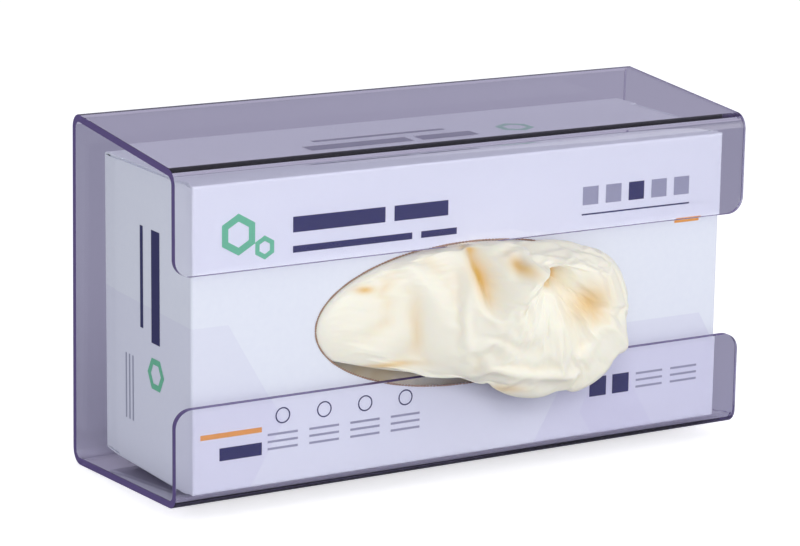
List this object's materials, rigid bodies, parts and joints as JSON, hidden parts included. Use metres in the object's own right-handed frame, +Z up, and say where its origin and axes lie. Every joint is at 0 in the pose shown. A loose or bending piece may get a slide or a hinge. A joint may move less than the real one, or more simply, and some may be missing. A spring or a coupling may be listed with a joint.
{
  "type": "disposable glove dispenser",
  "caption": "Clear wall-mounted holder bent from one sheet, open at both ends, with a folded carton of thin disposable gloves that are pulled out one by one through its torn oval opening.",
  "frame": {"origin": "on the wall plane, midway between the two screw holes of the back panel, 105 mm above the holder's lowest edge", "axes": "+X along the holder's length, to the right seen from the front; +Y into the wall; +Z up; the front lips and the gloves face -Y"},
  "size_m": [0.258, 0.1199, 0.1415],
  "materials": {
    "clear_sheet": "clear, polished, faint violet tint",
    "carton_board": "coated white board, satin",
    "glove_film": "thin cream film, soft sheen"
  },
  "bodies": {
    "root": {"holder_shell": "clear_sheet", "glove_carton": "carton_board", "glove_pile": "glove_film", "next_glove": "glove_film", "pulled_glove": "glove_film"}
  },
  "joints": []
}
